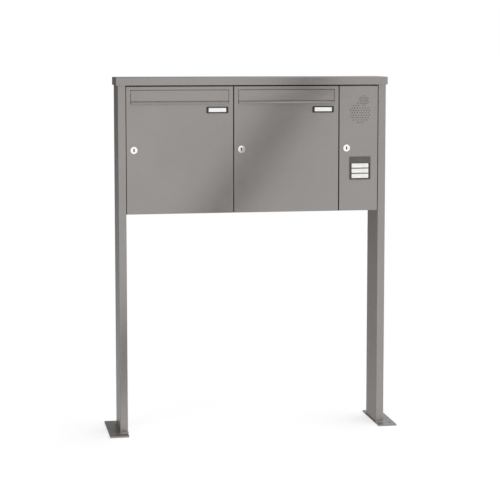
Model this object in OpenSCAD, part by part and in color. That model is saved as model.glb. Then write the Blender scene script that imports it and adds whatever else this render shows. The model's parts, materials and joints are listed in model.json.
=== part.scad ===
// Free-standing letterbox unit: a pair of tall letterboxes and a narrow bell
// compartment hung between flat steel posts, under a folded roof cap.
// Origin: on the ground, centred under the unit. X runs across, Y to the rear, Z up.

/* [Overall] */
// Height from the ground to the top of the roof cap
total_h = 1226; // [1100:1:1400]
// Width of one letterbox module
box_w = 370; // [340:5:400]
// Width of the bell compartment module
bell_w = 140; // [136:1:160]
// Height of the modules
box_h = 440; // [420:5:480]

/* [Posts and base plates] */
// Width of a post, seen from the front
post_w = 27; // [26:1:40]
// Depth of a post, front to rear
post_d = 138; // [130:1:160]
// Wall of a post
post_t = 2; // [1.5:0.5:3]
// Thickness of a base plate
plate_t = 5; // [4:1:8]
// Reach of a base plate outside its post
plate_out = 38; // [34:1:60]
// Reach of a base plate in front of its post
plate_front = 42; // [36:1:60]
// Reach of a base plate behind its post
plate_back = 52; // [36:1:70]
// Radius of an anchor hole
anchor_r = 5.5; // [4.5:0.5:7]

/* [Roof cap] */
// Height of the cap's folded skirt
cap_h = 27; // [26:1:34]
// Overhang of the cap past each post's side
cap_side = 5; // [4:1:8]
// Overhang of the cap past the posts' front and rear
cap_front = 4; // [4:1:8]
// Sheet thickness of the cap
cap_t = 2; // [1.5:0.5:2]

/* [Doors] */
// Gap between neighbouring doors
door_gap = 3; // [3:0.5:4]
// Depth of a door's folded edges
door_d = 11; // [10:0.5:11]
// Sheet thickness of the doors and flaps
door_t = 1.5; // [1.2:0.1:1.5]
// Height of a letter flap's flat face
flap_h = 38; // [34:0.2:46]

/* [Bell panel] */
// Width of a bell button
button_w = 60.2; // [50:0.2:60.2]
// Height of a bell button
button_h = 15; // [12:0.5:15]
// Travel of a bell button
button_travel = 1.5; // [1:0.1:1.5]

/* [Hidden] */
$fn = 48;
eps = 0.5;              // how far a cutter runs past the face it opens

// Colours
coat = "#8d8986";       // metallic grey powder coat
plated = "#c9c9cb";     // bright plated metal
zinc = "#a9abad";       // zinc-plated steel
black = "#262424";      // black plastic
taupe = "#5f5b55";      // dark taupe plastic
white = "#f4f3f0";      // labels

// Across: module edges from left to right
inner_w = 2 * box_w + bell_w;
half_w = inner_w / 2;
left_x = -half_w;
right_x = left_x + box_w;
bell_x = right_x + box_w;
post_out = half_w + post_w;

// Front to rear
plate_d = plate_front + post_d + plate_back;
post_y = -plate_d / 2 + plate_front;    // posts' front face
post_rear = post_y + post_d;
front_y = post_y + 0.5;                 // doors' front face
sheet_y = front_y + door_t;             // doors' inner face
door_rear = front_y + door_d;           // end of the doors' folded edges
housing_y = front_y + 19.5;             // front of the housings
housing_rear = post_rear - 4;
wall_t = 1.2;                           // sheet thickness of the housings
rim_w = 12;                             // width of a housing's inturned front rim
housing_fold_r = 2.5;                   // outer radius of a housing's rear edges
seal_w = 6;                             // width of the strip over the joint of two housings
seal_t = 3;

// Up
cap_z = total_h - cap_h;                // lower edge of the cap's skirt
box_top = cap_z + 1;
box_z = box_top - box_h;
door_z = box_z + 1;
door_top = cap_z - 4;
lock_z = door_top - 215.5;

// Hinges: pins in the folded top and bottom edges of each door, running in tabs
hinge_in = 12;                          // pin axis from the door's right edge
hinge_y = front_y + 6.5;
hinge_r = 2;
run_gap = 0.05;                         // running clearance of every pin and plug
hinge_collar = 1.3;                     // how much wider the pins' collars are
tab_t = 2;
tab_r = 4.6;
tab_gap = 1;                            // from a door's folded edge to its tab
tab_reach = 9;                          // from the pin axis to the tab's far side
relief_h = 7;                           // height of the notch that clears a tab
fold_r = 1.5;                           // outer radius of folded sheet edges

// Letter slot and flap
slot_gap = 1.5;
slot_side = 16.25;                      // module edge to the slot's end
slot_top = cap_z - 15.4;
flap_top = slot_top - slot_gap;
crease_z = flap_top - flap_h;
lip_run = 6;                            // reach of the flap's grip lip, forward
lip_drop = 7.5;                         // and down
slot_z = crease_z - lip_drop - 1.2;     // the lip hides the slot's sill
flap_y = front_y + 5;                   // flap rod axis
flap_z = flap_top - 9;
rod_r = 2;
bearing_w = 8;
bearing_half = 5;
ear_half = 4.5;                         // half of an ear on the flap's back

// Locks
lock_in = 27;                           // lock axis from the module's left edge
rosette_r = 12.5;
rosette_t = 2.5;
barrel_r = 9.5;
plug_r = 6.5;
barrel_rear = housing_y + 1.8;
cam_y = housing_y + 2.2;
cam_t = 2.5;
cam_reach = 20;
cam_r = 6;
tang_w = 7;                             // square end of the plug that turns the cam
lock_nut_across = 24;
lock_nut_h = 4;
key_w = 3;
key_h = 10;
key_deep = 10.3;                        // depth of the key slot from the plug's front
cam_screw_r = 2;

// Nameplates
name_w = 75;
name_h = 22;
name_t = 2.5;
name_corner = 2.5;
label_w = 60.6;
label_h = 15.2;
label_corner = 0.8;
label_seat = 1;                         // from the door's face to the label's back
label_t = 0.8;
name_x = box_w - 19 - name_w / 2;       // centre, from the module's left edge
name_z = cap_z - 84.5;

// Bell panel
panel_w = 75;
panel_h = 80;
panel_t = 3;
panel_x = bell_x + 75.5;
panel_z = cap_z - 290;
button_pitch = 18;
button_gap = 0.4;
button_top_z = cap_z - 281;             // centre of the top button
header_z = cap_z - 262;
header_h = 15;
panel_corner = 2.5;
header_deep = 0.8;                      // depth of the header plate's recess
tray_d = 10;
tray_in = 2;                            // tray's ends inside the frame's ends
tray_wall = 5.5;
tray_end = 2;
tray_top = 14;
tray_cable_r = 4;
cutout_w = 64;
cutout_h = 57;
screw_r = 1.25;
button_rim = 1.1;                       // rim that keeps a button behind the frame
rim_slack = 0.2;
stem_r = 2.5;
stem_end = front_y + 4;
switch_y = stem_end + button_travel + 0.1;
board_y = front_y + 8.4;
board_t = 1.6;

// Speech grille: a large round field and a small one above it
grille_x = bell_x + 75;
grille_z = cap_z - 98;
grille_r = 39;
grille_pitch = 9.5;
grille_hole_r = 1.7;
small_x = bell_x + 88;
small_z = cap_z - 55;
small_r = 19;
small_pitch = 6.2;
small_hole_r = 1.4;
field_gap = 0.6;                        // least sheet left between the two fields' holes

// Cable route
cable_y = 20;
cable_r = 7;
cable_z = box_z + 40;
cable_hole_r = 9;
grommet_r = 10;
grommet_lip = 3;
grommet_lip_t = 2;

// Fasteners and anchor holes
anchor_x = post_out + plate_out - 18;
anchor_y = [-plate_d / 2 + 30, plate_d / 2 - 19];
cap_screw_r = 2.5;
cap_screw_x = [half_w + 7, post_out - 7];
cap_screw_z = cap_z + 13;
cap_screw_len = 14;
housing_screw_r = 3;
housing_screw_len = 10;
nut_across = 10;
nut_h = 5;
housing_screw_y = [housing_y + 26, housing_rear - 26];
housing_screw_z = [box_z + 90, box_z + box_h - 60];
panel_screw_at = [for (sx = [-1, 1], sz = [-1, 1]) [panel_x + sx * 34.7, panel_z + sz * 33.5]];

// ---- places that depend on the module ----

// Left edge and width of each module
modules = [[left_x, box_w], [right_x, box_w], [bell_x, bell_w]];
tab_z = [door_z + door_t + tab_gap, door_top - door_t - tab_gap - tab_t];

function door_right(x0, w) = x0 + w - door_gap / 2;
function hinge_x(x0, w) = door_right(x0, w) - hinge_in;
function button_z(n) = button_top_z - n * button_pitch;

// ---- helpers ----

// Socket-head screw: head on the XY plane and up, shank down
module socket_screw(head_r, head_h, socket_r, socket_d, shank_r, shank_len) {
    difference() {
        cylinder(h = head_h, r = head_r);
        translate([0, 0, head_h - socket_d]) cylinder(h = socket_d + eps, r = socket_r, $fn = 6);
    }
    translate([0, 0, -shank_len]) cylinder(h = shank_len, r = shank_r);
}

module block(lo, hi) {
    translate(lo) cube(hi - lo);
}

module bar_x(x0, x1, y, z, r) {
    translate([x0, y, z]) rotate([0, 90, 0]) cylinder(h = x1 - x0, r = r);
}

module bar_y(x, y0, y1, z, r) {
    translate([x, y0, z]) rotate([-90, 0, 0]) cylinder(h = y1 - y0, r = r);
}

module bar_z(x, y, z0, z1, r) {
    translate([x, y, z0]) cylinder(h = z1 - z0, r = r);
}

// Rectangle from the origin with the two corners on its lower side rounded
module folded_2d(w, d, r) {
    translate([r, 0]) square([w - 2 * r, d]);
    translate([0, r]) square([w, d - r]);
    for (x = [r, w - r]) translate([x, r]) circle(r);
}

// Centred rectangle with four round corners
module rounded_2d(w, h, r) {
    square([w - 2 * r, h], center = true);
    square([w, h - 2 * r], center = true);
    for (x = [r - w / 2, w / 2 - r], y = [r - h / 2, h / 2 - r]) translate([x, y]) circle(r);
}

// Box from the origin whose four front edges (y = 0) are folded round
module folded_box(size, r) {
    intersection() {
        linear_extrude(size.z) folded_2d(size.x, size.y, r);
        rotate([90, 0, 90]) linear_extrude(size.x) mirror([1, -1]) folded_2d(size.z, size.y, r);
    }
}

// Upright plate in the XZ plane, centred on x and z, running from y0 back to y1
module plate_xz(x, z, y0, y1, w, h, r) {
    translate([x, y1, z]) rotate([90, 0, 0]) linear_extrude(y1 - y0) rounded_2d(w, h, r);
}

// Solid of constant YZ section between two X positions
module section_x(x0, x1, points) {
    translate([x0, 0, 0]) rotate([90, 0, 90]) linear_extrude(x1 - x0) polygon(points);
}

// Hexagonal nut, washer-flat, along X from x0, with its hole
module hex_nut_x(x0, y, z, across, h, r) {
    translate([x0, y, z]) rotate([0, 90, 0]) difference() {
        cylinder(h = h, d = across / cos(30), $fn = 6);
        translate([0, 0, -eps]) cylinder(h = h + 2 * eps, r = r);
    }
}

// ---- posts, base plates and cap ----

module post(side) {
    x0 = side < 0 ? -post_out : half_w;
    wall_x = side < 0 ? -half_w - post_t - eps : half_w - eps;
    color(coat) difference() {
        translate([x0 + post_w / 2, post_y + post_d / 2, plate_t])
            linear_extrude(total_h - cap_t - plate_t) difference() {
                rounded_2d(post_w, post_d, 2);
                square([post_w - 2 * post_t, post_d - 2 * post_t], center = true);
            }
        for (y = housing_screw_y, z = housing_screw_z)
            bar_x(wall_x, wall_x + post_t + 2 * eps, y, z, housing_screw_r);
        for (x = cap_screw_x)
            bar_y(side * x, post_rear - post_t - eps, post_rear + eps, cap_screw_z, cap_screw_r);
        if (side > 0) bar_x(half_w - eps, half_w + post_t + eps, cable_y, cable_z, grommet_r);
    }
}

module base_plate(side) {
    centre_x = side * (half_w + (post_w + plate_out) / 2);
    color(coat) difference() {
        translate([centre_x, 0, 0]) linear_extrude(plate_t)
            rounded_2d(post_w + plate_out, plate_d, 3);
        for (y = anchor_y) bar_z(side * anchor_x, y, -eps, plate_t + eps, anchor_r);
        bar_z(side * (half_w + post_w / 2), cable_y, -eps, plate_t + eps, cable_hole_r);
    }
}

module roof_cap() {
    w = 2 * (post_out + cap_side);
    d = post_d + 2 * cap_front;
    low = [-w / 2, post_y - cap_front, cap_z];
    color(coat) difference() {
        translate([low.x, low.y, total_h]) rotate([-90, 0, 0]) folded_box([w, cap_h, d], 2);
        block(low + [cap_t, cap_t, -eps], low + [w - cap_t, d - cap_t, cap_h - cap_t]);
        for (side = [-1, 1], x = cap_screw_x)
            bar_y(side * x, low.y + d - cap_t - eps, low.y + d + eps, cap_screw_z, cap_screw_r);
    }
}

// Screws through the cap's rear skirt into the posts
module cap_screws() {
    color(zinc) for (side = [-1, 1], x = cap_screw_x)
        translate([side * x, post_rear + cap_front, cap_screw_z]) rotate([-90, 0, 0])
            socket_screw(4.6, 2.4, 1.6, 1.2, cap_screw_r, cap_screw_len);
}

// ---- housings ----

// Steel box with folded rear edges, open at the front inside an inturned rim
module housing(x0, w, wired = false) {
    low = [x0, housing_y, box_z];
    high = [x0 + w, housing_rear, box_top];
    color(coat) difference() {
        translate([low.x, high.y, high.z]) rotate([180, 0, 0])
            folded_box(high - low, housing_fold_r);
        block(low + [wall_t, wall_t, wall_t], high - [wall_t, wall_t, wall_t]);
        block(low + [rim_w, -eps, rim_w], [high.x - rim_w, housing_y + wall_t + eps, high.z - rim_w]);
        for (y = housing_screw_y, z = housing_screw_z)
            bar_x(low.x - eps, high.x + eps, y, z, housing_screw_r);
        if (wired) bar_x(high.x - wall_t - eps, high.x + eps, cable_y, cable_z, grommet_r);
    }
}

module left_letterbox() housing(left_x, box_w);
module right_letterbox() housing(right_x, box_w);
module bell_cabinet() housing(bell_x, bell_w, wired = true);

// Screws that join each housing to its neighbour or to a post, heads on the left
module housing_screws() {
    color(zinc) for (x = [left_x + wall_t, right_x + wall_t, bell_x + wall_t, half_w - wall_t],
            y = housing_screw_y, z = housing_screw_z) {
        away = x > bell_x + bell_w / 2 ? -1 : 1;
        translate([x, y, z]) rotate([0, away * 90, 0])
            socket_screw(5, 3.2, 2.3, 1.6, housing_screw_r, housing_screw_len);
    }
}

module housing_nuts() {
    seats = [left_x - post_t - nut_h, right_x - wall_t - nut_h, bell_x - wall_t - nut_h,
        half_w + post_t];
    color(zinc) for (x = seats, y = housing_screw_y, z = housing_screw_z)
        hex_nut_x(x, y, z, nut_across, nut_h, housing_screw_r);
}

// Flat tabs welded to the housing rims; each door turns on them
module hinge_tab(x, z) {
    color(coat) difference() {
        union() {
            bar_z(x, hinge_y, z, z + tab_t, tab_r);
            block([x - tab_reach, hinge_y, z], [x + 1, housing_y, z + tab_t]);
        }
        bar_z(x, hinge_y, z - eps, z + tab_t + eps, hinge_r + run_gap);
    }
}

module hinge_tabs() {
    for (m = modules, z = tab_z) hinge_tab(hinge_x(m[0], m[1]), z);
}

// Rubber strips over the upright joints: between two housings, and between a housing and a post
module joint_seals() {
    low_z = box_z + 1;
    high_z = box_top - 2;
    color(black) for (x = [left_x, right_x, bell_x, half_w])
        block([max(x - seal_w / 2, left_x), housing_y - seal_t, low_z],
              [min(x + seal_w / 2, half_w), housing_y, high_z]);
}

// Two buffers beside the latch edge of each door
module door_buffers() {
    buffer_in = 7.5;
    buffer_end = 40;
    buffer_r = 3.5;
    play = 0.2;
    color(black) for (m = modules, z = [box_z + buffer_end, box_top - buffer_end])
        bar_y(m[0] + buffer_in, door_rear + play, housing_y, z, buffer_r);
}

// Sloping sheet behind the slot that keeps hands away from the mail
module letter_baffle(x0) {
    y0 = housing_y + wall_t;
    top = box_top - 78;
    reach = 35;                         // how far the sheet runs back
    fall = 24;                          // and how far it drops on the way
    edge = 12;                          // flat edges at its front and rear
    t = 1;
    skew = 0.6;                         // sloping sheet's thickness, measured upright, less t
    side_x = [x0 + wall_t, x0 + box_w - wall_t - t];
    color(coat) {
        section_x(x0 + wall_t, x0 + box_w - wall_t,
            [[y0, top + edge], [y0 + t, top + edge], [y0 + t, top],
             [y0 + reach + t, top - fall], [y0 + reach + t, top - fall - edge],
             [y0 + reach, top - fall - edge], [y0 + reach, top - fall - skew], [y0, top - skew]]);
        for (x = side_x)
            section_x(x, x + t, [[y0, top - fall - skew], [y0 + reach, top - fall - skew],
                [y0, top - skew]]);
    }
}

module left_letter_baffle() letter_baffle(left_x);
module right_letter_baffle() letter_baffle(right_x);

module cable_grommet() {
    x0 = half_w - wall_t;
    x1 = half_w + post_t;
    color(black) difference() {
        union() {
            bar_x(x0, x1, cable_y, cable_z, grommet_r);
            bar_x(x0 - grommet_lip_t, x0, cable_y, cable_z, grommet_r + grommet_lip);
            bar_x(x1, x1 + grommet_lip_t, cable_y, cable_z, grommet_r + grommet_lip);
        }
        bar_x(x0 - grommet_lip_t - eps, x1 + grommet_lip_t + eps, cable_y, cable_z, cable_r);
    }
}

// Row of screw terminals: a base, a raised rib with the screw wells, wire holes from below
module terminal_block() {
    poles = 6;
    pole_w = 10;
    base_d = 12;
    base_h = 22;
    rib_d = 6;
    rib_h = 10;
    well_r = 2.6;
    well_d = 10;
    wire_r = 2;
    wire_d = 5;
    x0 = bell_x + bell_w / 2 - poles * pole_w / 2;
    x1 = x0 + poles * pole_w;
    y1 = housing_rear - wall_t;
    rib_y = y1 - base_d - rib_d;
    z0 = box_z + 90;
    mid_z = z0 + base_h / 2;
    color(white) difference() {
        union() {
            block([x0, y1 - base_d, z0], [x1, y1, z0 + base_h]);
            block([x0 + 1, rib_y, mid_z - rib_h / 2], [x1 - 1, y1 - base_d + eps, mid_z + rib_h / 2]);
        }
        for (n = [0 : poles - 1]) {
            x = x0 + (n + 0.5) * pole_w;
            bar_y(x, rib_y - eps, rib_y + well_d, mid_z, well_r);
            bar_z(x, y1 - base_d / 2, z0 - eps, z0 + wire_d, wire_r);
        }
    }
}

// ---- doors ----

// Folded sheet door with hinge pins' holes and a hole for its lock
module door_pan(x0, w) {
    left = x0 + door_gap / 2;
    right = door_right(x0, w);
    h = door_top - door_z;
    difference() {
        translate([left, front_y, door_z]) folded_box([right - left, door_d, h], fold_r);
        block([left + door_t, sheet_y, door_z + door_t],
              [right - door_t, door_rear + eps, door_top - door_t]);
        for (z = [door_z + door_t, door_top - door_t - relief_h])
            block([right - door_t - eps, sheet_y, z], [right + eps, door_rear + eps, z + relief_h]);
        for (z = [door_z - eps, door_top - door_t - eps])
            bar_z(hinge_x(x0, w), hinge_y, z, z + door_t + 2 * eps, hinge_r);
        bar_y(x0 + lock_in, front_y - eps, sheet_y + eps, lock_z, barrel_r + run_gap);
    }
}

module letterbox_door(x0) {
    color(coat) difference() {
        door_pan(x0, box_w);
        block([x0 + slot_side, front_y - eps, slot_z],
              [x0 + box_w - slot_side, sheet_y + eps, slot_top]);
    }
}

// Lower and upper pin of a door, each with a collar that stops short of its tab
module hinge_pins(x0, w) {
    x = hinge_x(x0, w);
    past_tab = 1.5;
    play = 0.2;
    color(zinc) {
        bar_z(x, hinge_y, door_z, tab_z[0] + tab_t + past_tab, hinge_r);
        bar_z(x, hinge_y, door_z + door_t, tab_z[0] - play, hinge_r + hinge_collar);
        bar_z(x, hinge_y, tab_z[1] - past_tab, door_top, hinge_r);
        bar_z(x, hinge_y, tab_z[1] + tab_t + play, door_top - door_t, hinge_r + hinge_collar);
    }
}

module flap_bearings(x0) {
    color(black) for (x = [x0 + slot_side - bearing_w, x0 + box_w - slot_side])
        difference() {
            block([x, sheet_y, flap_z - bearing_half],
                  [x + bearing_w, flap_y + bearing_half, flap_z + bearing_half]);
            bar_x(x - eps, x + bearing_w + eps, flap_y, flap_z, rod_r + run_gap);
        }
}

// Flap: flat face, a groove, then a lip folded forward and down to grip
module letter_flap(x0) {
    flap_x0 = x0 + slot_side + slot_gap;
    flap_x1 = x0 + box_w - slot_side - slot_gap;
    chamfer = 0.6;
    groove = 0.8;
    lip_back = 0.75;                    // half of the lip's thickness, seen along Y or Z
    color(coat) {
        section_x(flap_x0, flap_x1, [
            [front_y + door_t, flap_top], [front_y + chamfer, flap_top],
            [front_y, flap_top - chamfer], [front_y, crease_z + 2 * groove],
            [front_y + groove, crease_z + groove], [front_y, crease_z],
            [front_y - lip_run, crease_z - lip_drop],
            [front_y - lip_run + lip_back, crease_z - lip_drop - 2 * lip_back],
            [front_y - lip_run + 2 * lip_back, crease_z - lip_drop - lip_back],
            [front_y + door_t, crease_z - lip_back]]);
        for (x = [flap_x0, flap_x1 - door_t]) difference() {
            block([x, sheet_y - eps, flap_z - ear_half],
                  [x + door_t, flap_y + ear_half, flap_z + ear_half]);
            bar_x(x - eps, x + door_t + eps, flap_y, flap_z, rod_r);
        }
    }
}

module flap_rod(x0) {
    color(zinc) bar_x(x0 + slot_side - bearing_w + 1, x0 + box_w - slot_side + bearing_w - 1,
        flap_y, flap_z, rod_r);
}

module nameplate_frame(x0) {
    color(black) difference() {
        plate_xz(x0 + name_x, name_z, front_y - name_t, front_y, name_w, name_h, name_corner);
        plate_xz(x0 + name_x, name_z, front_y - name_t - eps, front_y - label_seat,
            label_w, label_h, label_corner);
    }
}

module name_label(x0) {
    color(white) plate_xz(x0 + name_x, name_z, front_y - label_seat - label_t,
        front_y - label_seat, label_w, label_h, label_corner);
}

// ---- locks ----

module lock_barrel(x0) {
    x = x0 + lock_in;
    color(plated) difference() {
        union() {
            bar_y(x, front_y - rosette_t, front_y, lock_z, rosette_r);
            bar_y(x, front_y - eps, barrel_rear, lock_z, barrel_r);
        }
        bar_y(x, front_y - rosette_t - eps, barrel_rear + eps, lock_z, plug_r + run_gap);
    }
}

module lock_nut(x0) {
    color(zinc) translate([x0 + lock_in, sheet_y, lock_z]) rotate([-90, 0, 0]) difference() {
        cylinder(h = lock_nut_h, d = lock_nut_across / cos(30), $fn = 6);
        translate([0, 0, -eps]) cylinder(h = lock_nut_h + 2 * eps, r = barrel_r);
    }
}

module lock_plug(x0) {
    x = x0 + lock_in;
    plug_front = front_y - rosette_t + 0.2;
    color(plated) difference() {
        union() {
            bar_y(x, plug_front, barrel_rear, lock_z, plug_r);
            block([x - tang_w / 2, barrel_rear - eps, lock_z - tang_w / 2],
                  [x + tang_w / 2, cam_y + cam_t, lock_z + tang_w / 2]);
        }
        block([x - key_w / 2, plug_front - eps, lock_z - key_h / 2],
              [x + key_w / 2, plug_front + key_deep, lock_z + key_h / 2]);
        bar_y(x, cam_y - 6, cam_y + cam_t + eps, lock_z, cam_screw_r);
    }
}

// Cam, hanging down and clear of the rim when unlocked
module lock_cam(x0) {
    x = x0 + lock_in;
    color(zinc) difference() {
        union() {
            bar_y(x, cam_y, cam_y + cam_t, lock_z, cam_r + 1);
            bar_y(x, cam_y, cam_y + cam_t, lock_z - cam_reach + cam_r, cam_r);
            block([x - cam_r, cam_y, lock_z - cam_reach + cam_r], [x + cam_r, cam_y + cam_t, lock_z]);
        }
        block([x - tang_w / 2, cam_y - eps, lock_z - tang_w / 2],
              [x + tang_w / 2, cam_y + cam_t + eps, lock_z + tang_w / 2]);
    }
}

module cam_screw(x0) {
    x = x0 + lock_in;
    seat = cam_y + cam_t;
    head_r = 5;
    head_h = 2.6;
    slot_w = 1.2;
    slot_d = 1.2;
    shank_len = 7;
    color(zinc) {
        difference() {
            bar_y(x, seat, seat + head_h, lock_z, head_r);
            block([x - head_r + 1, seat + head_h - slot_d, lock_z - slot_w / 2],
                  [x + head_r - 1, seat + head_h + eps, lock_z + slot_w / 2]);
        }
        bar_y(x, seat - shank_len, seat + eps, lock_z, cam_screw_r);
    }
}

// ---- one set of named parts for each letterbox ----

module left_door() letterbox_door(left_x);
module left_hinge_pins() hinge_pins(left_x, box_w);
module left_flap_bearings() flap_bearings(left_x);
module left_nameplate_frame() nameplate_frame(left_x);
module left_name_label() name_label(left_x);
module left_lock_barrel() lock_barrel(left_x);
module left_lock_nut() lock_nut(left_x);
module left_lock_plug() lock_plug(left_x);
module left_lock_cam() lock_cam(left_x);
module left_cam_screw() cam_screw(left_x);
module left_flap() letter_flap(left_x);
module left_flap_rod() flap_rod(left_x);

module right_door() letterbox_door(right_x);
module right_hinge_pins() hinge_pins(right_x, box_w);
module right_flap_bearings() flap_bearings(right_x);
module right_nameplate_frame() nameplate_frame(right_x);
module right_name_label() name_label(right_x);
module right_lock_barrel() lock_barrel(right_x);
module right_lock_nut() lock_nut(right_x);
module right_lock_plug() lock_plug(right_x);
module right_lock_cam() lock_cam(right_x);
module right_cam_screw() cam_screw(right_x);
module right_flap() letter_flap(right_x);
module right_flap_rod() flap_rod(right_x);

// ---- bell compartment door ----

// Staggered rows of small holes that fill a circle, except within a distance of one point
module hole_field(x, z, r, pitch, hole_r, off = [0, 0], off_r = 0) {
    row_h = pitch * sin(60);
    rows = floor(r / row_h);
    for (row = [-rows : rows], col = [-ceil(r / pitch) : ceil(r / pitch)]) {
        dx = (col + (row % 2 == 0 ? 0 : 0.5)) * pitch;
        dz = row * row_h;
        if (norm([dx, dz]) <= r - hole_r && norm([x + dx - off.x, z + dz - off.y]) >= off_r)
            bar_y(x + dx, front_y - eps, sheet_y + eps, z + dz, hole_r, $fn = 16);
    }
}

module bell_door() {
    color(coat) difference() {
        door_pan(bell_x, bell_w);
        block([panel_x - cutout_w / 2, front_y - eps, button_top_z - button_pitch - cutout_h / 2],
              [panel_x + cutout_w / 2, sheet_y + eps, button_top_z - button_pitch + cutout_h / 2]);
        for (p = panel_screw_at) bar_y(p[0], front_y - eps, sheet_y + eps, p[1], screw_r);
        hole_field(grille_x, grille_z, grille_r, grille_pitch, grille_hole_r,
                   [small_x, small_z], small_r + grille_hole_r + field_gap);
        hole_field(small_x, small_z, small_r, small_pitch, small_hole_r);
    }
}

module bell_hinge_pins() hinge_pins(bell_x, bell_w);
module bell_lock_barrel() lock_barrel(bell_x);
module bell_lock_nut() lock_nut(bell_x);
module bell_lock_plug() lock_plug(bell_x);
module bell_lock_cam() lock_cam(bell_x);
module bell_cam_screw() cam_screw(bell_x);

module bell_panel_frame() {
    color(taupe) difference() {
        plate_xz(panel_x, panel_z, front_y - panel_t, front_y, panel_w, panel_h, panel_corner);
        for (n = [0 : 2])
            block([panel_x - button_w / 2 - button_gap, front_y - panel_t - eps,
                   button_z(n) - button_h / 2 - button_gap],
                  [panel_x + button_w / 2 + button_gap, front_y + eps,
                   button_z(n) + button_h / 2 + button_gap]);
        plate_xz(panel_x, header_z, front_y - panel_t - eps, front_y - panel_t + header_deep,
            button_w + 2 * button_gap, header_h, 1);
        for (p = panel_screw_at) bar_y(p[0], front_y - 2, front_y + eps, p[1], screw_r);
    }
}

module bell_header_plate() {
    color(taupe) plate_xz(panel_x, header_z, front_y - panel_t + 0.2,
        front_y - panel_t + header_deep, button_w + 2 * button_gap, header_h, 1);
}

module bell_panel_tray() {
    low = [panel_x - panel_w / 2, sheet_y, panel_z - panel_h / 2 + tray_in];
    high = [panel_x + panel_w / 2, sheet_y + tray_d, panel_z + panel_h / 2 - tray_in];
    color(black) difference() {
        block(low, high);
        block([low.x + tray_wall, low.y - eps, low.z + tray_end],
              [high.x - tray_wall, board_y + board_t, high.z - tray_top]);
        for (p = panel_screw_at) bar_y(p[0], low.y - eps, high.y + eps, p[1], screw_r);
        bar_y(panel_x, board_y, high.y + eps, panel_z - 30, tray_cable_r);
    }
}

// Screws from behind the tray into the frame
module bell_panel_screws() {
    seat = sheet_y + tray_d;
    tip_y = front_y - 1.8;
    color(zinc) for (p = panel_screw_at)
        translate([p[0], seat, p[1]]) rotate([-90, 0, 0])
            socket_screw(2.6, 1.8, 1, 1, screw_r, seat - tip_y);
}

module bell_contact_board() {
    board_half = 30;
    board_past = 8;                     // past the outer buttons' centres
    switch_half = 4;
    color("#2f5a3c") {
        block([panel_x - board_half, board_y, button_z(2) - board_past],
              [panel_x + board_half, board_y + board_t, button_z(0) + board_past]);
        for (n = [0 : 2])
            block([panel_x - switch_half, switch_y, button_z(n) - switch_half],
                  [panel_x + switch_half, board_y + eps, button_z(n) + switch_half]);
    }
}

// Button cap with a rim that keeps it behind the frame, and a stem to its switch
module bell_button(n) {
    z = button_z(n);
    half = [button_w / 2 + button_rim, button_h / 2 + button_rim - rim_slack];
    rim_y = front_y + 0.3;
    color(white) {
        plate_xz(panel_x, z, front_y - panel_t + 0.4, front_y + 1, button_w, button_h, 0.6);
        block([panel_x - half.x, rim_y, z - half.y], [panel_x + half.x, rim_y + 1.4, z + half.y]);
        bar_y(panel_x, front_y + 1, stem_end, z, stem_r);
    }
}

module bell_button_1() bell_button(0);
module bell_button_2() bell_button(1);
module bell_button_3() bell_button(2);

module speaker_unit() {
    color(black) translate([grille_x, sheet_y, grille_z - 6]) rotate([-90, 0, 0]) rotate_extrude()
        polygon([[0, 5], [12, 5], [26, 0], [30, 0], [30, 5], [19, 10], [16, 10], [16, 20], [0, 20]]);
}

module microphone_unit() {
    color(black) {
        bar_y(small_x, sheet_y, sheet_y + 9, small_z + 1, 11);
        plate_xz(small_x, small_z + 1, sheet_y + 9, sheet_y + 15, 20, 20, 2);
    }
}

post(-1);  // left_post
post(1);  // right_post
base_plate(-1);  // left_base_plate
base_plate(1);  // right_base_plate
roof_cap();
cap_screws();
left_letterbox();
right_letterbox();
bell_cabinet();
housing_screws();
housing_nuts();
hinge_tabs();
joint_seals();
door_buffers();
left_letter_baffle();
right_letter_baffle();
cable_grommet();
terminal_block();
left_door();
left_hinge_pins();
left_flap_bearings();
left_nameplate_frame();
left_name_label();
left_lock_barrel();
left_lock_nut();
left_lock_plug();
left_lock_cam();
left_cam_screw();
left_flap();
left_flap_rod();
right_door();
right_hinge_pins();
right_flap_bearings();
right_nameplate_frame();
right_name_label();
right_lock_barrel();
right_lock_nut();
right_lock_plug();
right_lock_cam();
right_cam_screw();
right_flap();
right_flap_rod();
bell_door();
bell_hinge_pins();
bell_lock_barrel();
bell_lock_nut();
bell_lock_plug();
bell_lock_cam();
bell_cam_screw();
bell_panel_frame();
bell_header_plate();
bell_panel_tray();
bell_panel_screws();
bell_contact_board();
bell_button_1();
bell_button_2();
bell_button_3();
speaker_unit();
microphone_unit();
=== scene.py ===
"""Looks of the free-standing letterbox unit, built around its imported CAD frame. Units are metres."""
import json
import math

import bmesh
import bpy
from mathutils import Matrix, Vector


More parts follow.
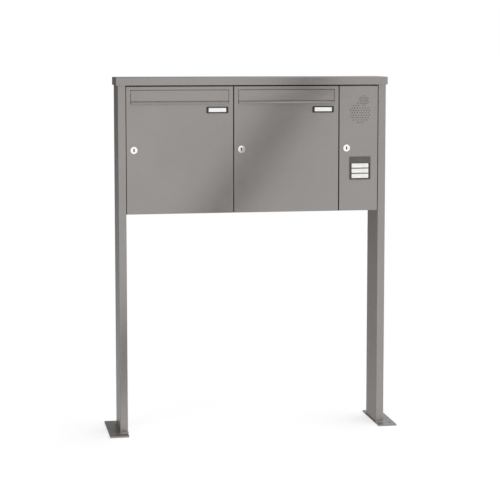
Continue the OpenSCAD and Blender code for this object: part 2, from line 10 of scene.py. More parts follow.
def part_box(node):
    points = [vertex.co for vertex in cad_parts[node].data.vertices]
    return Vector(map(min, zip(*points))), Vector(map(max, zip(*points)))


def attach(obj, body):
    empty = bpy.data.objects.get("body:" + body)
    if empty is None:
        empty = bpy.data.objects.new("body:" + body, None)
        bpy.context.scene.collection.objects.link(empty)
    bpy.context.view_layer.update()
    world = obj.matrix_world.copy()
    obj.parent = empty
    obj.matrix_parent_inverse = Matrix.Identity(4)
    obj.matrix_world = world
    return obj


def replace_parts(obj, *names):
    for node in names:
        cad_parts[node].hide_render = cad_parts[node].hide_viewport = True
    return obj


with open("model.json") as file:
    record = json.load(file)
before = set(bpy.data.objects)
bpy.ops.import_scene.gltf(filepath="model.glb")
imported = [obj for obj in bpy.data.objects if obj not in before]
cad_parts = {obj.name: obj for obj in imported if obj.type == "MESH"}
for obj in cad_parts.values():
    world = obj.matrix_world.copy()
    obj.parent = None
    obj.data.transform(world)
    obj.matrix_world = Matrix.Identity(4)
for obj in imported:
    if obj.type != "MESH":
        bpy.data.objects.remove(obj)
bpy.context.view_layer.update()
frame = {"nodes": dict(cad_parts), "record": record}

MM = 0.001

# ---- camera ---------------------------------------------------------------------------------------

CAMERA_AT = (-0.9797, -5.3545, 1.3228)
CAMERA_YAW = 10.37      # degrees, turned from +Y towards +X
CAMERA_PITCH = 5.52     # degrees, downwards
CAMERA_LENS = 112.77    # millimetres
CAMERA_SENSOR = 36.0    # its width in millimetres
CAMERA_SHIFT = -0.10
CAMERA_FAR = 200.0

# ---- light ----------------------------------------------------------------------------------------

ROOM_LIGHT = 1.25
# The studio's unlit side, behind the unit and to its left. In degrees: its middle's azimuth, from +Y
# towards +X, and elevation, then how far round that it is fully dark, and where it ends
DARK_AZIMUTH = -55.0
DARK_ELEVATION = 8.0
DARK_INNER = 53.0
DARK_OUTER = 83.0
DARK_LIGHT = 0.12
# Below the horizon the unlit side brightens again, between two sines of the angle below it
BOUNCE_FROM = 0.03
BOUNCE_TO = 0.22
BOUNCE_LIGHT = 0.52
FLOOR_REACH = 3.0       # of the pale floor, in front of the unit and to its sides
FLOOR_BEHIND = 0.9
FLOOR_GLOW = 0.64
# A long dark flag in front of the unit, seen only as a soft diagonal band in the coat
FLAG_LOW = (-0.525, 0.0)        # x and z of its lower end
FLAG_HIGH = (0.44, 1.43)
FLAG_WIDTH = 0.12
FLAG_AHEAD = 0.45       # of the doors


# ---- node helpers ---------------------------------------------------------------------------------

NOISE_LOW, NOISE_HIGH = 0.3, 0.7


class Nodes:
    """A material's or world's node tree, with short calls that make and link nodes."""

    def __init__(self, tree):
        self.tree = tree

    def feed(self, socket, value):
        """Links a socket to a node's output, or sets it to a number or to a colour without its alpha."""
        if isinstance(value, bpy.types.NodeSocket):
            self.tree.links.new(value, socket)
        elif isinstance(value, tuple):
            socket.default_value = (*value, 1.0)
        else:
            socket.default_value = value

    def put(self, node, name, value):
        self.feed(node.inputs[name], value)

    def make(self, kind, **inputs):
        node = self.tree.nodes.new(kind)
        for name, value in inputs.items():
            self.put(node, name.replace("_", " "), value)
        return node

    def math(self, operation, a, b=0.0):
        node = self.tree.nodes.new("ShaderNodeMath")
        node.operation = operation
        for socket, value in zip(node.inputs, (a, b)):
            self.feed(socket, value)
        return node.outputs[0]

    def ramp(self, value, low, high, to_low=0.0, to_high=1.0, smooth=True):
        node = self.tree.nodes.new("ShaderNodeMapRange")
        node.interpolation_type = "SMOOTHSTEP" if smooth else "LINEAR"
        self.tree.links.new(value, node.inputs["Value"])
        for name, number in (("From Min", low), ("From Max", high), ("To Min", to_low), ("To Max", to_high)):
            node.inputs[name].default_value = number
        return node.outputs["Result"]

    def spread(self, noise, to_low=0.0, to_high=1.0):
        """Spreads the range in which most of a noise lies over another range."""
        return self.ramp(noise, NOISE_LOW, NOISE_HIGH, to_low, to_high)

    def noise(self, where, scale, detail=2.0, roughness=0.5):
        node = self.make("ShaderNodeTexNoise", Scale=scale, Detail=detail, Roughness=roughness, Vector=where)
        return node.outputs["Fac"]

    def cells(self, where, scale, feature="F1", output="Distance"):
        node = self.tree.nodes.new("ShaderNodeTexVoronoi")
        node.feature = feature
        self.tree.links.new(where, node.inputs["Vector"])
        node.inputs["Scale"].default_value = scale
        return node.outputs[output]

    def stretched(self, where, x=1.0, y=1.0, z=1.0):
        node = self.tree.nodes.new("ShaderNodeVectorMath")
        node.operation = "MULTIPLY"
        self.tree.links.new(where, node.inputs[0])
        node.inputs[1].default_value = (x, y, z)
        return node.outputs["Vector"]

    def mix(self, share, a, b):
        """Mixes two colours. The node has sockets of every type, so its colour sockets go by number."""
        node = self.tree.nodes.new("ShaderNodeMix")
        node.data_type = "RGBA"
        for number, value in ((0, share), (6, a), (7, b)):
            self.feed(node.inputs[number], value)
        return node.outputs[2]

    def parted(self, colour):
        """The three channels of a colour."""
        node = self.tree.nodes.new("ShaderNodeSeparateColor")
        self.tree.links.new(colour, node.inputs[0])
        return node.outputs

    def bump(self, height, distance, strength):
        node = self.tree.nodes.new("ShaderNodeBump")
        node.inputs["Strength"].default_value = strength
        node.inputs["Distance"].default_value = distance
        self.tree.links.new(height, node.inputs["Height"])
        return node.outputs["Normal"]


def surface(name, **fixed):
    """A new material with one Principled shader, and its helper and object coordinates."""
    material = bpy.data.materials.new(name)
    material.use_nodes = True
    tree = material.node_tree
    shader = tree.nodes["Principled BSDF"]
    for key, value in fixed.items():
        shader.inputs[key.replace("_", " ")].default_value = value
    nodes = Nodes(tree)
    where = tree.nodes.new("ShaderNodeTexCoord").outputs["Object"]
    return material, nodes, shader, where


def shades(colour, *factors):
    """Darker and lighter versions of a colour."""
    return [tuple(c * f for c in colour) for f in factors]


# ---- materials ------------------------------------------------------------------------------------
# Textures are in object coordinates, so their scales are in cells or waves per metre.

WHITE_LIGHT = (1.0, 1.0, 1.0)


def powder_coat():
    """Semi-gloss metallic powder coat: aluminium fleck, orange peel, slight drift in tone."""
    material, n, shader, where = surface("powder_coat", Metallic=0.55, Coat_Weight=0.12, Coat_Roughness=0.22)
    base, bright_fleck, dark_fleck = (0.243, 0.229, 0.221), (0.52, 0.50, 0.485), (0.13, 0.122, 0.118)
    drift = n.noise(where, 5.0, 3.0)
    fleck = n.cells(where, 2600.0, output="Color")
    tone = n.mix(n.spread(drift), *shades(base, 0.975, 1.025))
    red, green, _ = n.parted(fleck)
    bright = n.ramp(red, 0.80, 1.0)
    dark = n.ramp(green, 0.85, 1.0)
    tone = n.mix(n.math("MULTIPLY", bright, 0.35), tone, bright_fleck)
    tone = n.mix(n.math("MULTIPLY", dark, 0.30), tone, dark_fleck)
    n.put(shader, "Base Color", tone)
    peel = n.noise(where, 420.0, 2.0)
    n.put(shader, "Roughness", n.spread(n.noise(where, 60.0, 4.0), 0.29, 0.34))
    n.put(shader, "Normal", n.bump(peel, 0.06 * MM, 0.5))
    return material


def zinc_steel():
    """Zinc plating: small spangles that differ in gloss, some a little yellow."""
    material, n, shader, where = surface("zinc_steel", Metallic=1.0)
    patch = n.cells(where, 420.0, output="Color")
    tone = n.mix(n.spread(n.noise(where, 120.0, 3.0)), (0.50, 0.51, 0.52), (0.64, 0.65, 0.65))
    red, green, _ = n.parted(patch)
    tone = n.mix(n.math("MULTIPLY", red, 0.25), tone, (0.62, 0.60, 0.52))
    n.put(shader, "Base Color", tone)
    n.put(shader, "Roughness", n.ramp(green, 0.0, 1.0, 0.30, 0.48, smooth=False))
    n.put(shader, "Normal", n.bump(n.noise(where, 900.0, 3.0), 0.03 * MM, 0.5))
    return material


def bright_plating():
    """Satin chrome, turned: fine rings round each piece's own Y axis."""
    material, n, shader, where = surface("bright_plating", Metallic=1.0)
    ring_pitch = 0.22 * MM
    radial = n.tree.nodes.new("ShaderNodeVectorMath")
    radial.operation = "LENGTH"
    n.tree.links.new(n.stretched(where, y=0.0), radial.inputs[0])
    rings = n.math("SINE", n.math("MULTIPLY", radial.outputs["Value"], 2 * math.pi / ring_pitch))
    smear = n.noise(where, 260.0, 4.0)
    n.put(shader, "Base Color", n.mix(n.spread(smear), (0.76, 0.76, 0.77), (0.86, 0.86, 0.86)))
    n.put(shader, "Roughness", n.spread(smear, 0.17, 0.27))
    n.put(shader, "Normal", n.bump(rings, 0.004 * MM, 0.6))
    return material


def moulded(name, base, rough):
    """Moulded plastic with a fine spark-eroded grain."""
    material, n, shader, where = surface(name, Specular_IOR_Level=0.4)
    drift = n.noise(where, 35.0, 3.0)
    n.put(shader, "Base Color", n.mix(n.spread(drift), *shades(base, 0.94, 1.06)))
    n.put(shader, "Roughness", n.spread(n.noise(where, 180.0, 3.0), rough - 0.05, rough + 0.07))
    n.put(shader, "Normal", n.bump(n.noise(where, 1500.0, 2.0), 0.05 * MM, 0.5))
    return material


def rubber():
    """Matt rubber, greyed by dust in patches."""
    material, n, shader, where = surface("black_rubber", Specular_IOR_Level=0.3)
    dust = n.ramp(n.noise(where, 140.0, 4.0), 0.45, 0.8)
    n.put(shader, "Base Color", n.mix(dust, (0.018, 0.018, 0.018), (0.045, 0.044, 0.042)))
    n.put(shader, "Roughness", n.spread(n.noise(where, 300.0, 3.0), 0.72, 0.88))
    n.put(shader, "Normal", n.bump(n.noise(where, 1100.0, 3.0), 0.06 * MM, 0.6))
    return material


def circuit_board():
    """Green solder mask over a net of copper tracks."""
    material, n, shader, where = surface("circuit_board", Coat_Weight=0.3, Coat_Roughness=0.15)
    tracks = n.cells(n.stretched(where, y=0.0), 260.0, feature="DISTANCE_TO_EDGE")
    copper = n.ramp(tracks, 0.05, 0.09, 1.0, 0.0)
    n.put(shader, "Base Color", n.mix(copper, (0.016, 0.085, 0.030), (0.045, 0.17, 0.06)))
    n.put(shader, "Roughness", n.spread(n.noise(where, 200.0, 3.0), 0.35, 0.5))
    n.put(shader, "Normal", n.bump(copper, 0.03 * MM, 0.5))
    return material


def label_paper():
    """White card with a faint fibre."""
    material, n, shader, where = surface("label_paper")
    fibre = n.noise(n.stretched(where, z=3.0), 700.0, 4.0, 0.7)
    n.put(shader, "Base Color", n.mix(n.spread(fibre), (0.88, 0.88, 0.87), (0.94, 0.94, 0.93)))
    n.put(shader, "Roughness", n.spread(fibre, 0.5, 0.65))
    n.put(shader, "Normal", n.bump(fibre, 0.01 * MM, 0.4))
    return material


def clear_plastic():
    """Thin clear cover: seen through, with gloss on top."""
    material = bpy.data.materials.new("clear_plastic")
    material.use_nodes = True
    tree = material.node_tree
    tree.nodes.clear()
    n = Nodes(tree)
    where = tree.nodes.new("ShaderNodeTexCoord").outputs["Object"]
    smear = n.spread(n.noise(where, 90.0, 3.0), 0.04, 0.10)
    gloss = n.make("ShaderNodeBsdfGlossy", Roughness=smear, Color=WHITE_LIGHT)
    clear = n.make("ShaderNodeBsdfTransparent", Color=WHITE_LIGHT)
    share = n.make("ShaderNodeFresnel", IOR=1.22)
    mixed = n.make("ShaderNodeMixShader")
    tree.links.new(share.outputs[0], mixed.inputs[0])
    tree.links.new(clear.outputs[0], mixed.inputs[1])
    tree.links.new(gloss.outputs[0], mixed.inputs[2])
    output = n.make("ShaderNodeOutputMaterial")
    tree.links.new(mixed.outputs[0], output.inputs["Surface"])
    return material


COAT = powder_coat()
CLEAR = clear_plastic()
PLATING = bright_plating()
BLACK = moulded("black_plastic", (0.020, 0.019, 0.019), 0.42)
TAUPE = moulded("taupe_plastic", (0.090, 0.082, 0.072), 0.40)
WHITE = moulded("white_plastic", (0.90, 0.89, 0.875), 0.30)
RUBBER = rubber()
PAPER = label_paper()

BY_SLOT = {
    "powder_coat": COAT, "zinc_steel": zinc_steel(), "bright_plating": PLATING, "black_plastic": BLACK,
    "taupe_plastic": TAUPE, "white_plastic": WHITE, "black_rubber": RUBBER, "circuit_board": circuit_board(),
}


def dress_cad_nodes():
    """Every CAD node takes the material of its slot in the record, and the name labels take paper."""
    for part in frame["record"]["subparts"]:
        node = frame["nodes"][part["node"]]
        paper = part["node"].endswith("name_label")
        material = PAPER if paper else BY_SLOT[part["material_slot"]]
        for slot in node.material_slots:
            slot.material = material
        if not node.material_slots:
            node.data.materials.append(material)


# ---- mesh helpers ---------------------------------------------------------------------------------

def piece(name, bm, material, body, centre=(0, 0, 0), sharp=32.0):
    """Turns a bmesh, built in the frame, into a smooth-shaded piece that rides on a body.
    The piece's origin is moved to centre, so that its material is centred there."""
    bmesh.ops.recalc_face_normals(bm, faces=bm.faces)
    mesh = bpy.data.meshes.new(name)
    bm.to_mesh(mesh)
    bm.free()
    mesh.transform(Matrix.Translation(-Vector(centre)))
    mesh.shade_smooth()
    mesh.set_sharp_from_angle(angle=math.radians(sharp))
    mesh.materials.append(material)
    made = bpy.data.objects.new(name, mesh)
    made.location = centre
    bpy.context.scene.collection.objects.link(made)
    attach(made, body)
    return made


def loft(bm, rings, closed=False):
    """Skins a list of rings with equal numbers of points. Its ends are capped unless it is closed."""
    loops = [[bm.verts.new(p) for p in ring] for ring in rings]
    pairs = list(zip(loops, loops[1:]))
    if closed:
        pairs.append((loops[-1], loops[0]))
    for a, b in pairs:
        for i in range(len(a)):
            j = (i + 1) % len(a)
            bm.faces.new((a[i], a[j], b[j], b[i]))
    if not closed:
        bm.faces.new(loops[0][::-1])
        bm.faces.new(loops[-1])
    return bm


def round_rect(x, z, w, h, r, y, steps=6):
    """Points of a rounded rectangle in the plane of that y, anticlockwise seen from -Y."""
    points = []
    for k, (sx, sz) in enumerate(((1, 1), (-1, 1), (-1, -1), (1, -1))):
        cx, cz = x + sx * (w / 2 - r), z + sz * (h / 2 - r)
        for i in range(steps + 1):
            a = math.radians(90 * (k + i / steps))
            points.append(Vector((cx + r * math.cos(a), y, cz + r * math.sin(a))))
    return points


def turned(r, y, x, z, angle):
    """The point at that radius and y, turned round the Y axis through x and z."""
    return Vector((x + r * math.cos(angle), y, z + r * math.sin(angle)))


def lathe(bm, profile, x, z, segments=64):
    """Turns a closed profile of (radius, y) points round the Y axis through x and z."""
    angles = [2 * math.pi * i / segments for i in range(segments)]
    return loft(bm, [[turned(r, y, x, z, a) for r, y in profile] for a in angles], closed=True)


def solid_lathe(bm, profile, x, z, segments=64):
    """The same for a solid that reaches its axis: the profile runs from one end's middle to the other's."""
    angles = [2 * math.pi * i / segments for i in range(segments)]
    return loft(bm, [[turned(r, y, x, z, a) for a in angles] for r, y in profile])


def plate(x, z, w, h, r, *levels):
    """A new prism of a rounded rectangle, between levels of y."""
    return loft(bmesh.new(), [round_rect(x, z, w, h, r, y) for y in levels])


def stack(x, z, rings):
    """A new solid skinned over rounded rectangles round one centre, each (width, height, corner, y)."""
    return loft(bmesh.new(), [round_rect(x, z, *ring) for ring in rings])


def extrude_x(bm, outline, x0, x1):
    """Prism of a closed outline of (y, z) points between two x positions."""
    return loft(bm, [[Vector((x, y, z)) for y, z in outline] for x in (x0, x1)])


def arc(cy, cz, r, start, end, steps=6):
    """Points on an arc in the YZ plane, angles in degrees from +Y towards +Z."""
    angles = [math.radians(start + (end - start) * i / steps) for i in range(steps + 1)]
    return [(cy + r * math.cos(a), cz + r * math.sin(a)) for a in angles]


def cut(target, *cutters):
    """Cuts bmesh solids out of a bmesh solid and returns the result."""
    def temporary(bm):
        bmesh.ops.recalc_face_normals(bm, faces=bm.faces)
        mesh = bpy.data.meshes.new("cutter")
        bm.to_mesh(mesh)
        bm.free()
        made = bpy.data.objects.new("cutter", mesh)
        bpy.context.scene.collection.objects.link(made)
        return made
    body = temporary(target)
    tools = [temporary(c) for c in cutters]
    for tool in tools:
        modifier = body.modifiers.new("cut", "BOOLEAN")
        modifier.object = tool
        modifier.operation = "DIFFERENCE"
        modifier.solver = "EXACT"
    graph = bpy.context.evaluated_depsgraph_get()
    carved = bpy.data.meshes.new_from_object(body.evaluated_get(graph))
    result = bmesh.new()
    result.from_mesh(carved)
    meshes = [carved] + [made.data for made in (body, *tools)]
    for made in (body, *tools):
        bpy.data.objects.remove(made)
    for mesh in meshes:
        bpy.data.meshes.remove(mesh)
    return result


def middle(node):
    """Centre of a CAD node's box."""
    low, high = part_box(node)
    return (low + high) / 2


# ---- pieces ---------------------------------------------------------------------------------------

FRONT_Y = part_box("left_door")[0].y
SHEET = 1.5 * MM
LIP = 6.0 * MM              # reach of a flap's grip lip, forward
LIP_DROP = 7.5 * MM         # and down
LIP_BELOW = 9.0 * MM        # from the crease to the flap's lower edge
BUTTONS = (1, 2, 3)
BUTTON_RIM = Vector((1.1, 0.0, 0.9)) * MM       # by which a button's rim stands out past its face
SLACK = 0.05 * MM           # round a piece that lies in another


def letter_flap(side):
    """The flap as an extruded section: rounded top, a groove, then the grip lip with a full round edge.
    Behind it a rib stiffens the groove, and two ears take the rod."""
    low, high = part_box(f"{side}_flap")
    face, back, top, crease = FRONT_Y, FRONT_Y + SHEET, high.z, low.z + LIP_BELOW
    top_r, groove_w, groove_d, rib, nick = 0.5 * MM, 1.6 * MM, 4.2 * MM, 3.6 * MM, 0.2 * MM
    tip_r = SHEET / 2
    outline = [(back, top)]
    outline += arc(face + top_r, top - top_r, top_r, 90, 180)
    outline += [(face, crease + groove_w + nick), (face + nick, crease + groove_w)]
    outline += [(face + groove_d, crease + groove_w), (face + groove_d, crease)]
    outline += [(face + 0.15 * MM, crease), (face - 0.1 * MM, crease - 0.15 * MM)]
    outline += arc(face - LIP + tip_r, crease - LIP_DROP - nick, tip_r, 135, 315, 8)
    outline += [(face + 0.5 * MM, crease - 1.6 * MM), (back, crease - 1.2 * MM)]
    outline += [(back + rib, crease - 0.6 * MM), (back + rib, crease + groove_w + 0.8 * MM)]
    outline += [(back, crease + groove_w + 2.0 * MM)]
    bm = extrude_x(bmesh.new(), outline, low.x, high.x)
    rod = middle(f"{side}_flap_rod")
    ear_r = 4.5 * MM
    ear = [(back, rod.z - ear_r)] + arc(rod.y, rod.z, ear_r, -90, 90, 16) + [(back, rod.z + ear_r)]
    for x in (low.x, high.x - SHEET):
        extrude_x(bm, ear, x, x + SHEET)
    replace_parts(piece(f"{side}_flap_profile", bm, COAT, f"{side}_flap_leaf"),
                f"{side}_flap")


def lock_front(side):
    """Rosette and threaded barrel, turned, and the plug with its keyway."""
    barrel, body = f"{side}_lock_barrel", f"{side}_door_leaf"
    low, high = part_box(barrel)
    at = middle(barrel)
    front, rear = low.y, high.y
    bore, barrel_r, rosette_r = 6.55 * MM, 9.5 * MM, (high.x - low.x) / 2
    mouth, dome = 0.15 * MM, 1.6 * MM
    profile = [(bore, front + mouth), (bore + mouth, front)]
    profile += [(rosette_r - dome + dome * math.sin(a), front + dome - dome * math.cos(a))
                for a in (math.radians(15 * i) for i in range(7))]
    plain, pitch, crest, end = 2.5 * MM, 1.0 * MM, 0.45 * MM, 0.5 * MM
    profile += [(rosette_r, FRONT_Y), (barrel_r, FRONT_Y), (barrel_r, FRONT_Y + plain)]
    thread_y = FRONT_Y + plain + pitch / 2
    turns = int((rear - thread_y - pitch) / pitch)
    for i in range(turns):
        y = thread_y + i * pitch
        profile += [(barrel_r, y), (barrel_r - crest, y + pitch / 2)]
    profile += [(barrel_r, rear - 0.8 * MM), (barrel_r - end, rear), (bore, rear)]
    made = piece(f"{side}_lock_rosette", lathe(bmesh.new(), profile, at.x, at.z), PLATING,
                 body, centre=at)
    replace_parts(made, barrel)
    lock_plug(side, at, rear)


def lock_plug(side, at, barrel_end):
    """Plug with its keyway, the square tang that carries the cam, and a slit dust shutter."""
    plug, core = f"{side}_lock_plug", f"{side}_lock_core"
    low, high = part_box(plug)
    face = low.y
    flat_r, plug_r, tang, front_edge, rear_edge = 0.5 * MM, 6.5 * MM, 7.0 * MM, 0.2 * MM, 0.4 * MM
    shape = solid_lathe(bmesh.new(), [(flat_r, face), (plug_r - front_edge, face),
                                      (plug_r, face + front_edge), (plug_r, barrel_end - rear_edge),
                                      (plug_r - rear_edge, barrel_end)], at.x, at.z)
    keyway_w, keyway_h, keyway_r, keyway_depth = 4.6 * MM, 10.8 * MM, 1.2 * MM, 9.0 * MM
    shape = cut(shape, plate(at.x, at.z, keyway_w, keyway_h, keyway_r, face - MM, face + keyway_depth))
    loft(shape, [round_rect(at.x, at.z, tang, tang, rear_edge, y) for y in (barrel_end, high.y)])
    made = piece(f"{side}_lock_plug_face", shape, PLATING, core, centre=at)
    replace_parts(made, plug)
    w, h, r, bevel = 4.5 * MM, 10.7 * MM, 1.1 * MM, 0.2 * MM
    front, rear = face + MM, face + 4.0 * MM
    rings = [(w - bevel, h - bevel, r, front), (w, h, r, front + bevel / 2), (w, h, r, rear)]
    shutter = stack(at.x, at.z, rings)
    slit_w, slit_h, slit_depth = 0.9 * MM, 8.0 * MM, 3.0 * MM
    shutter = cut(shutter, plate(at.x, at.z, slit_w, slit_h, slit_w / 2 - SLACK, face, face + slit_depth))
    piece(f"{side}_keyway_shutter", shutter, BLACK, core, centre=at)


def nameplate(side):
    """Bevelled frame and clear window. The CAD label stays and shows through."""
    node, body = f"{side}_nameplate_frame", f"{side}_door_leaf"
    low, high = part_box(node)
    at = middle(node)
    label_low, label_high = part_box(f"{side}_name_label")
    w, h = high.x - low.x, high.z - low.z
    lw, lh = label_high.x - label_low.x, label_high.z - label_low.z
    bevel, inner, corner, label_r, retaining = 0.4 * MM, 0.2 * MM, 2.5 * MM, 0.8 * MM, 0.7 * MM
    seen_h = lh - 2 * retaining         # height of the label that shows inside the frame's lips
    seat_y = label_low.y - SLACK
    rings = bevelled(w, h, corner, low.y, high.y, bevel)
    rings += [(lw + 2 * inner, seen_h + 2 * inner, label_r + inner, low.y),
              (lw, seen_h, label_r, low.y + inner), (lw, seen_h, label_r, seat_y),
              (lw + 2 * SLACK, lh + 2 * SLACK, label_r, seat_y),
              (lw + 2 * SLACK, lh + 2 * SLACK, label_r, label_high.y)]
    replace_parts(piece(f"{side}_nameplate_surround", stack(at.x, at.z, rings), BLACK, body),
                node)
    clear_window(f"{side}_name_window", at.x, at.z, lw - 4 * SLACK, seen_h - 4 * SLACK, seat_y,
                 0.45 * MM, body)


def bevelled(w, h, corner, front, rear, bevel):
    """Rings of a rounded plate from its rear to its front, whose front edge is bevelled in two steps."""
    return [(w, h, corner, rear), (w, h, corner, front + bevel),
            (w - 0.5 * bevel, h - 0.5 * bevel, corner, front + 0.25 * bevel),
            (w - 2 * bevel, h - 2 * bevel, corner - bevel, front)]


def clear_window(name, x, z, w, h, back, thick, body):
    """Thin clear cover with bevelled edges, its back at that y."""
    edge, corner, front_corner = 0.2 * MM, 0.7 * MM, 0.5 * MM
    rings = [(w, h, corner, back), (w, h, corner, back - thick + edge),
             (w - 2 * edge, h - 2 * edge, front_corner, back - thick)]
    piece(name, stack(x, z, rings), CLEAR, body)


def bell_panel():
    """Frame with softened edges, the recess of its header plate, and a darker well round the buttons."""
    low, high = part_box("bell_panel_frame")
    at = middle("bell_panel_frame")
    w, h, bevel, corner = high.x - low.x, high.z - low.z, 0.8 * MM, 2.5 * MM
    body = stack(at.x, at.z, bevelled(w, h, corner, low.y, high.y, bevel))
    through = (low.y - MM, high.y + MM)
    faces = [button_face(n) for n in BUTTONS]
    border, over, well_r, sunk = 3.2 * MM, 1.4 * MM, 1.4 * MM, 0.35 * MM
    top, bottom = faces[0][1].z + over, low.z + border
    well_w, well_h, well_z = w - 2 * border, top - bottom, (top + bottom) / 2
    well = plate(at.x, well_z, well_w, well_h, well_r, *through)
    play, slot_r = 0.6 * MM, 0.9 * MM
    slots = [plate(at.x, (b_low.z + b_high.z) / 2, b_high.x - b_low.x + 2 * play,
                   b_high.z - b_low.z + 2 * play, slot_r, *through) for b_low, b_high in faces]
    inset = plate(at.x, well_z, well_w - 2 * SLACK, well_h - 2 * SLACK, well_r, low.y + sunk, high.y)
    piece("bell_button_well", cut(inset, *slots), BLACK, "bell_door_leaf")
    p_low, p_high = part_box("bell_header_plate")
    p_at = middle("bell_header_plate")
    recess = plate(p_at.x, p_at.z, p_high.x - p_low.x + 2 * SLACK, p_high.z - p_low.z + 2 * SLACK, MM,
                   low.y - MM, p_high.y)
    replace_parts(piece("bell_panel_surround", cut(body, well, recess), TAUPE,
                      "bell_door_leaf"), "bell_panel_frame")


def button_face(n):
    """Lowest and highest corner of a button without its rim and stem."""
    low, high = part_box(f"bell_button_{n}")
    return low + BUTTON_RIM, high - BUTTON_RIM


def bell_button(n):
    """Dark carrier with rim and stem, white face with a bevelled edge, and a clear cover."""
    node, body = f"bell_button_{n}", f"bell_push_{n}"
    low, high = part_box(node)
    f_low, f_high = button_face(n)
    x, z = (f_low.x + f_high.x) / 2, (f_low.z + f_high.z) / 2
    w, h = f_high.x - f_low.x, f_high.z - f_low.z
    rim_w, rim_h, rim_y, rim_t = high.x - low.x, high.z - low.z, FRONT_Y + 0.3 * MM, 1.4 * MM
    cover, seat, corner, edge = 0.5 * MM, 1.2 * MM, 0.6 * MM, 0.25 * MM
    bm = stack(x, z, [(w, h, corner, low.y + seat), (w, h, corner, rim_y), (rim_w, rim_h, corner, rim_y),
                      (rim_w, rim_h, corner, rim_y + rim_t)])
    stem_r, stem_edge, sunk = 2.5 * MM, 0.3 * MM, 0.2 * MM
    solid_lathe(bm, [(stem_r, rim_y + rim_t - sunk), (stem_r, high.y - stem_edge),
                     (stem_r - stem_edge, high.y)], x, z, 32)
    piece(f"{node}_carrier", bm, BLACK, body, centre=(x, low.y, z))
    face = stack(x, z, [(w - 2 * edge, h - 2 * edge, 0.4 * MM, low.y + cover),
                        (w, h, corner, low.y + cover + edge), (w, h, corner, low.y + seat)])
    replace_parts(piece(f"{node}_face", face, WHITE, body, centre=(x, low.y, z)), node)
    clear_window(f"{node}_cover", x, z, w - 4 * SLACK, h - 4 * SLACK, low.y + cover - 0.02 * MM,
                 cover - SLACK, body)


def speaker(node="speaker_unit"):
    """Loudspeaker: surround, cone and dust cap in front, basket and magnet behind."""
    low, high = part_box(node)
    at = middle(node)
    rim_r, middle_r = (high.x - low.x) / MM / 2, 0.5
    # The section as (radius, depth behind the front) in millimetres: dust cap, cone, surround, rim, basket
    section = [(middle_r, 2.2), (4.0, 2.6), (7.0, 4.2), (8.0, 5.6), (22.0, 1.6)]
    section += [(24.0 - 2.0 * math.cos(a), 1.6 - 1.2 * math.sin(a))
                for a in (math.radians(30 * i) for i in range(1, 6))]
    section += [(26.0, 1.2), (26.4, 0.0), (rim_r - 0.5, 0.0), (rim_r, 0.5), (rim_r, 4.5), (rim_r - 0.5, 5.0)]
    section += [(19.0, 10.0), (16.5, 10.2), (16.0, 10.8)]
    # The magnet, whose rear face is the unit's
    deep, magnet_r, pole_r = (high.y - low.y) / MM, 16.0, 15.0
    section += [(magnet_r, deep - 1.5), (pole_r, deep - 1.2), (pole_r, deep - 0.3), (pole_r - 0.4, deep)]
    section += [(middle_r, deep)]
    profile = [(r * MM, low.y + y * MM) for r, y in section]
    made = piece("speaker_driver", solid_lathe(bmesh.new(), profile, at.x, at.z), BLACK,
                 "bell_door_leaf")
    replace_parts(made, node)


def foot_weld(side):
    """Painted weld bead round a post's foot, rippled as it was laid."""
    low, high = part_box(f"{side}_post")
    plate_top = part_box(f"{side}_base_plate")[1].z
    leg, ripple, pitch, corner = 3.2 * MM, 0.22 * MM, 2.4 * MM, 2.0 * MM
    step, root, dip, facets = 0.8 * MM, 0.3 * MM, 0.22, 5
    at = (low + high) / 2
    outline = [Vector((p.x, p.z, 0)) for p in
               round_rect(at.x, at.y, high.x - low.x, high.y - low.y, corner, 0.0, 4)]
    path = []
    for a, b in zip(outline, outline[1:] + outline[:1]):
        count = max(1, round((b - a).length / step))
        path += [a.lerp(b, i / count) for i in range(count)]
    rings, run = [], 0.0
    for i, p in enumerate(path):
        ahead, behind = path[(i + 1) % len(path)], path[i - 1]
        along = (ahead - behind).normalized()
        out = Vector((along.y, -along.x, 0))
        grown = leg + ripple * abs(math.sin(math.pi * run / pitch))
        run += (ahead - p).length
        ring = [p - out * root + Vector((0, 0, plate_top))]
        for k in range(facets + 1):
            a = math.radians(90 * k / facets)
            bulge = grown * (1 - dip * math.sin(2 * a))
            ring.append(p + out * bulge * math.cos(a) + Vector((0, 0, plate_top + bulge * math.sin(a))))
        rings.append(ring)
    bead = loft(bmesh.new(), rings, closed=True)
    piece(f"{side}_foot_weld", bead, COAT, "frame", sharp=50.0)


def top_seal(name, housing):
    """Rubber bead along a housing's upper rim, between its upright strips and just above the door."""
    low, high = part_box(housing)
    strip_low, strip_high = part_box("joint_seals")
    strip_half, above, bead_r = 3.0 * MM, 0.4 * MM, 1.9 * MM
    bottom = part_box("left_door")[1].z + above
    outline = [(strip_high.y, bottom), (strip_high.y, bottom + 2 * bead_r)]
    outline += arc(strip_low.y + bead_r, bottom + bead_r, bead_r, 90, 270, 8)
    bm = extrude_x(bmesh.new(), outline, low.x + strip_half, high.x - strip_half)
    piece(name, bm, RUBBER, "frame")


def build_pieces():
    for side in ("left", "right"):
        letter_flap(side)
        nameplate(side)
        foot_weld(side)
    for side in ("left", "right", "bell"):
        lock_front(side)
    top_seal("left_top_seal", "left_letterbox")
    top_seal("right_top_seal", "right_letterbox")
    top_seal("bell_top_seal", "bell_cabinet")
    bell_panel()
    for n in BUTTONS:
        bell_button(n)
    speaker()


# ---- stage ----------------------------------------------------------------------------------------

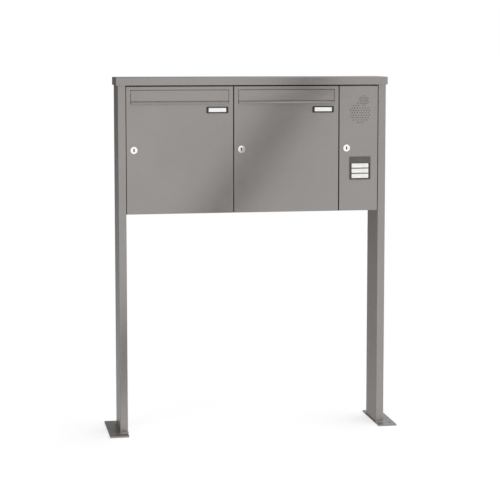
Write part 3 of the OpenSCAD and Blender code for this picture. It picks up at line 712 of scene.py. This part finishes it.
def staged(name, corners, colours, grain, rough):
    """A flat board of the stage, with its material's nodes and shader."""
    mesh = bpy.data.meshes.new(name)
    mesh.from_pydata(corners, [], [(0, 1, 2, 3)])
    board = bpy.data.objects.new(name, mesh)
    bpy.context.scene.collection.objects.link(board)
    material, n, shader, where = surface(name, Roughness=rough)
    n.put(shader, "Base Color", n.mix(n.noise(where, grain), *colours))
    mesh.materials.append(material)
    return board, n, shader


def make_floor():
    """Pale floor, lit from within so that only faint shadows show on it. Gloss doesn't reflect it."""
    corners = [(-FLOOR_REACH, -FLOOR_REACH, 0.0), (FLOOR_REACH, -FLOOR_REACH, 0.0),
               (FLOOR_REACH, FLOOR_BEHIND, 0.0), (-FLOOR_REACH, FLOOR_BEHIND, 0.0)]
    floor, n, shader = staged("floor", corners, ((0.44, 0.44, 0.44), (0.46, 0.46, 0.46)), 3.0, 0.9)
    n.put(shader, "Emission Color", WHITE_LIGHT)
    n.put(shader, "Emission Strength", FLOOR_GLOW)
    floor.visible_glossy = False


def make_world():
    """White to the camera. As light, the studio is white with an unlit side behind on the left."""
    world = bpy.data.worlds.new("studio")
    bpy.context.scene.world = world
    world.use_nodes = True
    tree = world.node_tree
    n = Nodes(tree)
    azimuth, elevation = math.radians(DARK_AZIMUTH), math.radians(DARK_ELEVATION)
    dot = tree.nodes.new("ShaderNodeVectorMath")
    dot.operation = "DOT_PRODUCT"
    where = tree.nodes.new("ShaderNodeTexCoord").outputs["Generated"]
    tree.links.new(where, dot.inputs[0])
    dot.inputs[1].default_value = (math.sin(azimuth) * math.cos(elevation),
                                   math.cos(azimuth) * math.cos(elevation), math.sin(elevation))
    lit = n.ramp(dot.outputs["Value"], math.cos(math.radians(DARK_OUTER)),
                 math.cos(math.radians(DARK_INNER)), ROOM_LIGHT, DARK_LIGHT)
    split = tree.nodes.new("ShaderNodeSeparateXYZ")
    tree.links.new(where, split.inputs[0])
    bounce = n.ramp(split.outputs["Z"], -BOUNCE_TO, -BOUNCE_FROM, BOUNCE_LIGHT, DARK_LIGHT, smooth=False)
    lit = n.math("MAXIMUM", lit, bounce)
    seen = tree.nodes.new("ShaderNodeLightPath").outputs["Is Camera Ray"]
    background = tree.nodes["Background"]
    n.put(background, "Color", WHITE_LIGHT)
    n.put(background, "Strength", n.math("MAXIMUM", lit, seen))


def make_flag():
    """The dark flag: a long board that shows only in reflections."""
    low, high = (Vector((x, FRONT_Y - FLAG_AHEAD, z)) for x, z in (FLAG_LOW, FLAG_HIGH))
    along = (high - low).normalized()
    side = Vector((along.z, 0, -along.x)) * FLAG_WIDTH / 2
    corners = [low - side, low + side, high + side, high - side]
    flag, _, _ = staged("flag", corners, ((0.010, 0.010, 0.010), (0.014, 0.014, 0.014)), 200.0, 1.0)
    flag.visible_camera = False
    flag.visible_diffuse = False
    flag.visible_shadow = False


def make_camera():
    data = bpy.data.cameras.new("camera")
    data.sensor_width = CAMERA_SENSOR
    data.lens = CAMERA_LENS
    data.shift_y = CAMERA_SHIFT
    data.clip_end = CAMERA_FAR
    camera = bpy.data.objects.new("camera", data)
    camera.location = CAMERA_AT
    camera.rotation_euler = (math.radians(90.0 - CAMERA_PITCH), 0.0, math.radians(-CAMERA_YAW))
    bpy.context.scene.collection.objects.link(camera)
    bpy.context.scene.camera = camera


bpy.context.scene.view_settings.view_transform = "Standard"
make_camera()
make_world()
make_floor()
make_flag()
dress_cad_nodes()
build_pieces()
